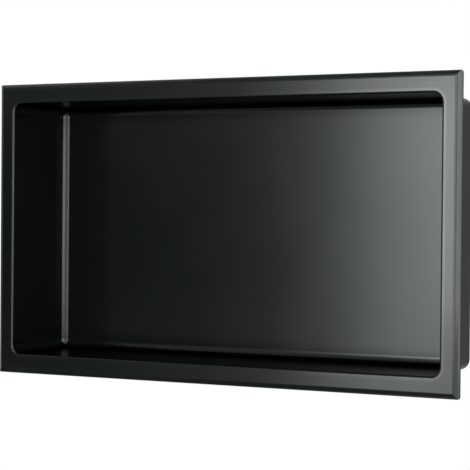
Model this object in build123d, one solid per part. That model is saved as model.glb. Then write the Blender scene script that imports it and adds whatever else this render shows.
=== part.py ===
from build123d import *
import os

# Shower niche insert: one formed sheet-metal shell that drops into a hole in a tiled wall.
# Origin at the centre of the flange's seat on the wall face.
# +X to the right, +Y into the wall, +Z up, millimetres.

# Driving dimensions
flange_width = 508.0  # over the flange
flange_height = 305.0  # over the flange
side_border = 18.5  # left and right outer edge of the flange to the recess wall
end_border = 20.5  # top and bottom outer edge of the flange to the recess wall
flange_stand = 7.0  # flange face proud of the wall
recess_depth = 98.8  # flange face to the back panel
sheet = 1.2  # sheet thickness

# Bends and corners
lip_round = 6.0  # outside radius where the flange turns back into its lip
lip_corner = 2.5  # ground outside corner of the lip
mouth_bend = 2.0  # outside radius of the bend from the flange into the recess
recess_corner = 9.5  # inside radius between neighbouring recess walls
back_bend = 9.0  # inside radius between the recess walls and the back panel

# Derived sizes
recess_width = flange_width - 2 * side_border
recess_height = flange_height - 2 * end_border
flange_face = -flange_stand
back_panel = flange_face + recess_depth


def rolled_slab(width, height, depth, edge_radius, corner_radius):
    # A slab standing on the wall face, its front edge rolled over all round.
    block = extrude(Plane.XZ * Rectangle(width, height), amount=depth)
    front = block.faces().sort_by(Axis.Y)[0]
    rolled = fillet(front.edges(), radius=edge_radius)
    outline = RectangleRounded(width, height, corner_radius)
    return rolled & extrude(Plane.XZ * outline, amount=depth)


def tub(width, height, back, corner_radius, bottom_radius):
    # A straight-walled tub from the flange face back into the wall, its floor edge rounded.
    outline = RectangleRounded(width, height, corner_radius)
    block = extrude(Plane.XZ.offset(-back) * outline, amount=back - flange_face)
    floor = block.faces().sort_by(Axis.Y)[-1]
    return fillet(floor.edges(), radius=bottom_radius)


# Outside of the recess box, one sheet thickness larger than the recess
box = tub(
    recess_width + 2 * sheet,
    recess_height + 2 * sheet,
    back_panel + sheet,
    recess_corner + sheet,
    back_bend + sheet,
)
recess = tub(recess_width, recess_height, back_panel, recess_corner, back_bend)

# Flange skin and the channel behind it, between the return lip and the box
flange = rolled_slab(flange_width, flange_height, flange_stand, lip_round, lip_corner)
channel = rolled_slab(
    flange_width - 2 * sheet,
    flange_height - 2 * sheet,
    flange_stand - sheet,
    lip_round - sheet,
    lip_corner - sheet,
)
channel -= box
channel_root = channel.faces().sort_by(Axis.Y)[0].inner_wires()[0]
channel = fillet(channel_root.edges(), radius=mouth_bend - sheet)

# Shell, with the flange bent round into the recess
shell = flange + box - channel - recess
mouth = shell.faces().filter_by(Plane.XZ).sort_by(Axis.Y)[0].inner_wires()[0]
shell = fillet(mouth.edges(), radius=mouth_bend)
shell.label = "niche_shell"

os.makedirs("parts", exist_ok=True)
export_step(shell, "parts/niche_shell.step")
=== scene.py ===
import bpy, math
from mathutils import Matrix, Vector


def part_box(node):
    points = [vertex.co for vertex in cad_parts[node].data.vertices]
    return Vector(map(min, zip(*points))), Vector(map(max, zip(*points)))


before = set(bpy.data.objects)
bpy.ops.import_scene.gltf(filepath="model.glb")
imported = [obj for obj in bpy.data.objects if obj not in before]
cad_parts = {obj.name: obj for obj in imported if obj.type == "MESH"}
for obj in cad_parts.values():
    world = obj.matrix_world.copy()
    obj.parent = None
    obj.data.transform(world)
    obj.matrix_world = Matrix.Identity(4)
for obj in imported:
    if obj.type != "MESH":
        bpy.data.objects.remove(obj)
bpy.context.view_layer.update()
print("frame loaded:", sorted(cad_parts))

white = (1.0, 1.0, 1.0, 1.0)


class Wire:  # a shader socket that takes Python maths
    def __init__(self, tree, socket=None):
        self.tree = tree
        self.socket = socket

    def node(self, kind, settings=None, inputs=None, take=0):
        made = self.tree.nodes.new(kind)
        for name, value in (settings or {}).items():
            setattr(made, name, value)
        for name, value in (inputs or {}).items():
            if isinstance(value, Wire):
                self.tree.links.new(value.socket, made.inputs[name])
            else:
                made.inputs[name].default_value = value
        return Wire(self.tree, made.outputs[take] if made.outputs else None)

    def maths(self, operation, *terms):
        return self.node("ShaderNodeMath", {"operation": operation}, dict(enumerate(terms)))

    def __add__(self, other):
        return self.maths("ADD", self, other)

    def __sub__(self, other):
        return self.maths("SUBTRACT", self, other)

    def __rsub__(self, other):
        return self.maths("SUBTRACT", other, self)

    def __mul__(self, other):
        return self.maths("MULTIPLY", self, other)

    __radd__ = __add__
    __rmul__ = __mul__

    def size(self):
        return self.maths("ABSOLUTE", self)

    def root(self):
        return self.maths("SQRT", self)

    def most(self, other):
        return self.maths("MAXIMUM", self, other)

    def rise(self, low, high):  # soft step from 0 to 1 between low and high
        return self.node(
            "ShaderNodeMapRange",
            {"interpolation_type": "SMOOTHSTEP"},
            {"Value": self, "From Min": low, "From Max": high, "To Min": 0.0, "To Max": 1.0},
        )


def clearNodes(holder):  # empties the node tree of a material or world, and hands over a first wire in it
    holder.use_nodes = True
    holder.node_tree.nodes.clear()
    return Wire(holder.node_tree)


# Dark satin powder coat on formed sheet steel, lengths in metres
coat = {
    "colour": (0.0549, 0.0602, 0.0586, 1.0),
    "colourThinAndSheen": (0.0961, 0.1054, 0.1026, 1.0),  # lighter coat where it is rubbed thin in random patches and specks, and along painted highlight lines beside the mouth bend and on the rolled edge
    "edgeTint": (0.432, 0.431, 0.431, 1.0),  # reflection at a shallow angle
    "roughness": 0.217,
    "noise": {  # size, detail and seed of each kind of unevenness
        "patch": (0.055, 3.0, 1.3),  # slow changes from spraying
        "speck": (0.0014, 2.0, 4.1),
        "peel": (0.0023, 1.0, 7.7),  # orange peel of the coat
        "grain": (0.00050, 1.0, 2.9),
        "sag": (0.19, 0.0, 5.2),  # slow waves in the sheet
    },
    "noiseRoughness": 0.55,
    "noiseMiddle": 0.5,
    "peelHeight": 0.000018,
    "grainHeight": 0.0000040,
    "sagHeight": 0.00010,
    "patchGloss": 0.030,
    "speckGloss": 0.030,
    "edgeGloss": -0.018,  # rubbed edges are a little smoother
    "patchThin": 0.10,
    "patchFrom": (0.35, 0.80),  # noise between which patches thin the coat
    "speckThin": 0.085,
    "speckFrom": (0.52, 0.80),
    "mouthWearAndSheen": 0.33,  # how much lighter the line beside the mouth bend is, partly rubbed coat and partly a painted highlight
    "lipWearAndSheen": 0.36,  # and the line on the rolled outer edge, also partly rubbed coat and partly a painted highlight
    "wearAndSheenLeast": 0.45,  # share of those lighter edge lines, wear and painted highlight, which is there all along
    "wearAndSheenFrom": (0.25, 0.70),  # noise between which the rest comes in
    "sideBorder": 0.0185,  # outer edge of the flange to the recess wall, left and right
    "endBorder": 0.0205,  # the same at the top and bottom
    "mouthCorner": 0.0095,
    "mouthLine": (0.0014, 0.0022, 0.0032, 0.0052),  # start, full, full, gone, outwards from the recess wall
    "mouthDepth": (0.0020, 0.0050),  # full and gone, back from the flange face
    "lipLine": (-0.0060, -0.0018),  # start and full, outwards from the outer edge
    "lipDepth": (-0.0020, 0.0),  # full and gone, the wall face being at 0
}


def cloud(start, place, layer):
    width, detail, seed = coat["noise"][layer]
    return start.node(
        "ShaderNodeTexNoise",
        {"noise_dimensions": "4D"},
        {
            "Vector": place,
            "W": seed,
            "Scale": 1.0 / width,
            "Detail": detail,
            "Roughness": coat["noiseRoughness"],
        },
        "Fac",
    )


def bump(start, height, distance, under=None):
    inputs = {"Strength": 1.0, "Distance": distance, "Height": height}
    if under:
        inputs["Normal"] = under
    return start.node("ShaderNodeBump", {}, inputs)


def edgeWearAndSheen(start, place):  # masks of a line beside the bend into the recess and of the rolled outer edge, where the coat is rubbed and also painted lighter as a highlight
    across, deep, up = [start.node("ShaderNodeSeparateXYZ", {}, {0: place}, axis) for axis in "XYZ"]
    low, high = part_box("niche_shell")
    corner = coat["mouthCorner"]
    beside = (across.size() - (high[0] - coat["sideBorder"] - corner)).most(0.0)
    above = (up.size() - (high[2] - coat["endBorder"] - corner)).most(0.0)
    fromMouth = (beside * beside + above * above).root() - corner
    starts, full, ends, gone = coat["mouthLine"]
    line = fromMouth.rise(starts, full) * (1.0 - fromMouth.rise(ends, gone))
    behindFace = [low[1] + depth for depth in coat["mouthDepth"]]
    mouthWearSheenLine = line * (1.0 - deep.rise(*behindFace))
    fromLip = (across.size() - high[0]).most(up.size() - high[2])
    lipWearSheenLine = fromLip.rise(*coat["lipLine"]) * (1.0 - deep.rise(*coat["lipDepth"]))
    return mouthWearSheenLine, lipWearSheenLine


def satinCoat():
    made = bpy.data.materials.new("satinBlackCoat")
    start = clearNodes(made)
    place = start.node("ShaderNodeTexCoord", take="Object")
    patch = cloud(start, place, "patch")
    speck = cloud(start, place, "speck")
    mouthWearSheenLine, lipWearSheenLine = edgeWearAndSheen(start, place)
    wearSheenShare = coat["wearAndSheenLeast"] + (1.0 - coat["wearAndSheenLeast"]) * patch.rise(*coat["wearAndSheenFrom"])

    # lighter coat: random thin patches and specks, plus painted highlight lines along the mouth bend and the
    # rolled outer edge that also stand for rubbed coat
    thinAndSheen = (
        (mouthWearSheenLine * coat["mouthWearAndSheen"]).most(lipWearSheenLine * coat["lipWearAndSheen"]) * wearSheenShare
        + patch.rise(*coat["patchFrom"]) * coat["patchThin"]
        + speck.rise(*coat["speckFrom"]) * coat["speckThin"]
    )
    first, second, mixed = 6, 7, 2  # a Mix node's sockets for colours
    colour = start.node(
        "ShaderNodeMix",
        {"data_type": "RGBA"},
        {"Factor": thinAndSheen, first: coat["colour"], second: coat["colourThinAndSheen"]},
        mixed,
    )
    roughness = (
        coat["roughness"]
        + (patch - coat["noiseMiddle"]) * coat["patchGloss"]
        + (speck - coat["noiseMiddle"]) * coat["speckGloss"]
        + mouthWearSheenLine.most(lipWearSheenLine) * wearSheenShare * coat["edgeGloss"]
    )
    waves = bump(start, cloud(start, place, "sag"), coat["sagHeight"])
    peel = bump(start, cloud(start, place, "peel"), coat["peelHeight"], waves)
    relief = bump(start, cloud(start, place, "grain"), coat["grainHeight"], peel)
    skin = start.node(
        "ShaderNodeBsdfPrincipled",
        {},
        {
            "Base Color": colour,
            "Metallic": 1.0,
            "Roughness": roughness,
            "Specular Tint": coat["edgeTint"],
            "Normal": relief,
        },
    )
    start.node("ShaderNodeOutputMaterial", {}, {"Surface": skin})
    return made


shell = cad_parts["niche_shell"]
coatMaterial = satinCoat()
for slot in shell.material_slots:
    slot.material = coatMaterial
print("coat on the shell")


def shownRays(start):  # 1 for rays that show the background: direct, in gloss or through glass
    kinds = ("Is Camera Ray", "Is Glossy Ray", "Is Transmission Ray")
    direct, gloss, glass = [start.node("ShaderNodeLightPath", take=kind) for kind in kinds]
    return direct.most(gloss).most(glass)


# Pale floor well below the insert, running out into white
ground = {
    "drop": 0.70,
    "radius": 5.0,
    "sides": 128,
    "colour": (0.80, 0.80, 0.80, 1.0),
    "whiteFrom": 0.9,  # distances from the origin between which it turns white
    "whiteBy": 2.2,
}


def layFloor():
    bpy.ops.object.select_all(action="DESELECT")
    bpy.ops.mesh.primitive_circle_add(
        vertices=ground["sides"],
        radius=ground["radius"],
        fill_type="NGON",
        location=(0.0, 0.0, -ground["drop"]),
    )
    floor = bpy.context.object
    floor.name = "studioFloor"
    bpy.ops.object.transform_apply(location=True, rotation=True, scale=True)
    made = bpy.data.materials.new("paleFloor")
    start = clearNodes(made)
    place = start.node("ShaderNodeTexCoord", take="Object")
    away = start.node("ShaderNodeVectorMath", {"operation": "LENGTH"}, {0: place}, "Value")
    far = away.rise(ground["whiteFrom"], ground["whiteBy"]) * shownRays(start)
    matt = start.node("ShaderNodeBsdfDiffuse", {}, {"Color": ground["colour"]})
    bright = start.node("ShaderNodeEmission", {}, {"Color": white, "Strength": 1.0})
    mixed = start.node("ShaderNodeMixShader", {}, {0: far, 1: matt, 2: bright})
    start.node("ShaderNodeOutputMaterial", {}, {"Surface": mixed})
    floor.data.materials.append(made)


# Dark cloth left of the tall soft box, paler high up and near the floor, seen only in gloss
cloth = {
    "near": (-0.488, -1.54),  # ends of its upright part, next to the soft box and far left
    "far": (-1.40, -0.72),
    "lift": 0.01,  # clear of the floor
    "top": 1.35,
    "foot": 1.50,  # how far it runs over the floor, to below the insert
    "roof": 1.70,  # and overhead
    "dark": (0.115, 0.149, 0.141, 1.0),
    "pale": (0.425, 0.463, 0.454, 1.0),
    "paleHigh": (0.10, 0.36),  # heights between which it turns pale
    "paleLow": (-0.75, -0.60),  # start of a pale band, from under the floor, so the foot is partly pale
    "paleLowEnd": (-0.42, -0.20),
    "sameHeight": 0.001,  # points this close in height are on one edge
}


def drawOut(piece, height, move):  # extrudes the edge of a sheet that lies at this height
    for part in (piece.data.polygons, piece.data.edges, piece.data.vertices):
        part.foreach_set("select", [False] * len(part))
    for vertex in piece.data.vertices:
        vertex.select = abs(vertex.co.z - height) < cloth["sameHeight"]
    for edge in piece.data.edges:
        edge.select = all(piece.data.vertices[end].select for end in edge.vertices)
    bpy.ops.object.mode_set(mode="EDIT")
    bpy.ops.mesh.extrude_region_move(TRANSFORM_OT_translate={"value": move})
    bpy.ops.object.mode_set(mode="OBJECT")


def flagCloth():
    made = bpy.data.materials.new("flagCloth")
    start = clearNodes(made)
    place = start.node("ShaderNodeTexCoord", take="Object")
    height = start.node("ShaderNodeSeparateXYZ", {}, {0: place}, "Z")
    lowBand = height.rise(*cloth["paleLow"]) * (1.0 - height.rise(*cloth["paleLowEnd"]))
    share = height.rise(*cloth["paleHigh"]).most(lowBand)
    dark = start.node("ShaderNodeBsdfDiffuse", {}, {"Color": cloth["dark"]})
    pale = start.node("ShaderNodeBsdfDiffuse", {}, {"Color": cloth["pale"]})
    mixed = start.node("ShaderNodeMixShader", {}, {0: share, 1: dark, 2: pale})
    start.node("ShaderNodeOutputMaterial", {}, {"Surface": mixed})
    return made


def standFlag():
    near, far = Vector(cloth["near"]), Vector(cloth["far"])
    middle, run = (near + far) / 2, far - near
    inwards = Vector((run.y, -run.x, 0.0)).normalized()
    low, high = cloth["lift"] - ground["drop"], cloth["top"]
    bpy.ops.object.select_all(action="DESELECT")
    bpy.ops.mesh.primitive_plane_add(
        size=1.0,
        location=(middle.x, middle.y, (low + high) / 2),
        rotation=(math.pi / 2, 0.0, math.atan2(run.y, run.x)),
    )
    flag = bpy.context.object
    flag.name = "darkFlag"
    flag.scale = (run.length, high - low, 1.0)
    bpy.ops.object.transform_apply(location=True, rotation=True, scale=True)
    drawOut(flag, low, inwards * cloth["foot"])
    drawOut(flag, high, inwards * cloth["roof"])
    flag.data.materials.append(flagCloth())
    for ray in ("visible_camera", "visible_diffuse", "visible_shadow"):
        setattr(flag, ray, False)


# A tall soft box ahead to the left, a weaker one over its upper part and a brighter strip at its right.
# The others are close to the right end, for the flange there and its rolled edge.
# Each has its edges as seen from the insert, brightness, distance, and turn to the right in degrees.
softBoxes = {
    "keyBox": {"across": (-0.478, -0.18), "up": (-0.42, 0.44), "glow": 2.5, "away": 1.55, "turn": 0.0},
    "crownBox": {"across": (-0.48, -0.18), "up": (0.14, 0.38), "glow": 1.4, "away": 1.60, "turn": 0.0},
    "stripBox": {"across": (-0.26, -0.18), "up": (-0.16, 0.26), "glow": 4.2, "away": 1.50, "turn": 0.0},
    "flangeBox": {"across": (0.131, 0.171), "up": (-0.10, 0.20), "glow": 1.4, "away": 0.30, "turn": 0.0},
    "edgeBox": {"across": (0.22, 0.34), "up": (-0.14, 0.24), "glow": 2.0, "away": 0.31, "turn": 0.0},
    "sideBox": {"across": (-0.064, 0.332), "up": (-0.110, 0.299), "glow": 1.55, "away": 0.574, "turn": 58.0},
    "rimBox": {"across": (-0.267, 0.093), "up": (-0.20, 0.34), "glow": 1.47, "away": 0.839, "turn": 110.0},
}


def hangSoftBox(name, plan):
    lamp = bpy.data.lights.new(name, "AREA")
    lamp.shape = "RECTANGLE"
    left, right = plan["across"]
    low, high = plan["up"]
    lamp.size = right - left
    lamp.size_y = high - low
    lamp.energy = plan["glow"] * math.pi * lamp.size * lamp.size_y
    made = bpy.data.objects.new(name, lamp)
    bpy.context.scene.collection.objects.link(made)
    turned = Matrix.Rotation(math.radians(plan["turn"]), 3, "Z")
    middle = Vector(((left + right) / 2, -plan["away"], (low + high) / 2))
    made.location = turned @ middle
    made.rotation_euler = (math.pi / 2, 0.0, math.radians(plan["turn"]))
    made.visible_camera = False


surround = {"fill": 0.60}  # its strength as light on the insert, while it shows as plain white


def hangSurround():
    world = bpy.data.worlds.new("studioSurround")
    bpy.context.scene.world = world
    start = clearNodes(world)
    seen = shownRays(start)
    strength = seen + (1.0 - seen) * surround["fill"]
    backdrop = start.node("ShaderNodeBackground", {}, {"Color": white, "Strength": strength})
    start.node("ShaderNodeOutputWorld", {}, {"Surface": backdrop})


layFloor()
standFlag()
for name, plan in softBoxes.items():
    hangSoftBox(name, plan)
hangSurround()
print("studio lit")

# Camera at the photograph's viewing angle, turns in degrees, lens and sensor in millimetres
view = {
    "place": (0.68399, -1.37612, 0.01637),
    "turn": 25.7157,
    "nod": -0.7312,
    "roll": 0.50,
    "lens": 118.354,
    "sensor": 36.0,
    "nearClip": 0.02,
}


def setCamera():
    data = bpy.data.cameras.new("photoView")
    data.lens = view["lens"]
    data.sensor_width = view["sensor"]
    data.clip_start = view["nearClip"]
    made = bpy.data.objects.new("photoView", data)
    bpy.context.scene.collection.objects.link(made)
    aimed = (
        Matrix.Rotation(math.radians(view["turn"]), 3, "Z")
        @ Matrix.Rotation(math.radians(90.0 + view["nod"]), 3, "X")
        @ Matrix.Rotation(math.radians(view["roll"]), 3, "Z")
    )
    made.location = view["place"]
    made.rotation_euler = aimed.to_euler()
    bpy.context.scene.camera = made


setCamera()
bpy.context.scene.view_settings.view_transform = "Standard"
print("camera set")
